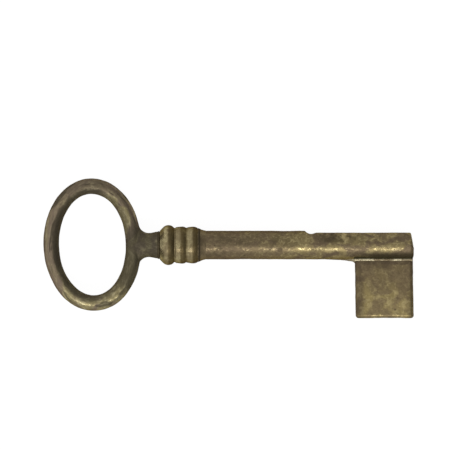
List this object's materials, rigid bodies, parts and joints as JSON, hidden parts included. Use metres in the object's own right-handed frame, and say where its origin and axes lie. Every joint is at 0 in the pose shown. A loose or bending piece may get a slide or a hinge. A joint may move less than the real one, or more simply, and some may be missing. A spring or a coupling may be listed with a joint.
{
  "type": "barrel bit key",
  "caption": "Old brass barrel key: an oval bow of round rod, a turned collar with beads, a plain hollow barrel, and a square bit left uncut.",
  "frame": {"origin": "centre of the barrel's mouth, on the barrel's axis", "axes": "+X points out of the mouth along the barrel, with the bow at -X. The bit points to -Y. +Z is square to the flat of the key, which lies in the XY plane."},
  "size_m": [0.0907, 0.034, 0.0098],
  "materials": {
    "cast_brass": "cast, dull brown patina with rubbed edges",
    "turned_brass": "turned, brown patina worn bright on the beads' crests, dark in the grooves",
    "barrel_brass": "drawn, patinated and rubbed by handling to a soft sheen",
    "bit_brass": "filed flat, mottled patina with small dark pits",
    "filler_brass": "flowed filler metal, slightly paler, dark at its edges"
  },
  "bodies": {
    "root": {"bow": "cast_brass", "neck_braze": "filler_brass", "collar": "turned_brass", "collar_braze": "filler_brass", "barrel": "barrel_brass", "bit": "bit_brass", "bit_braze": "filler_brass"}
  },
  "joints": []
}
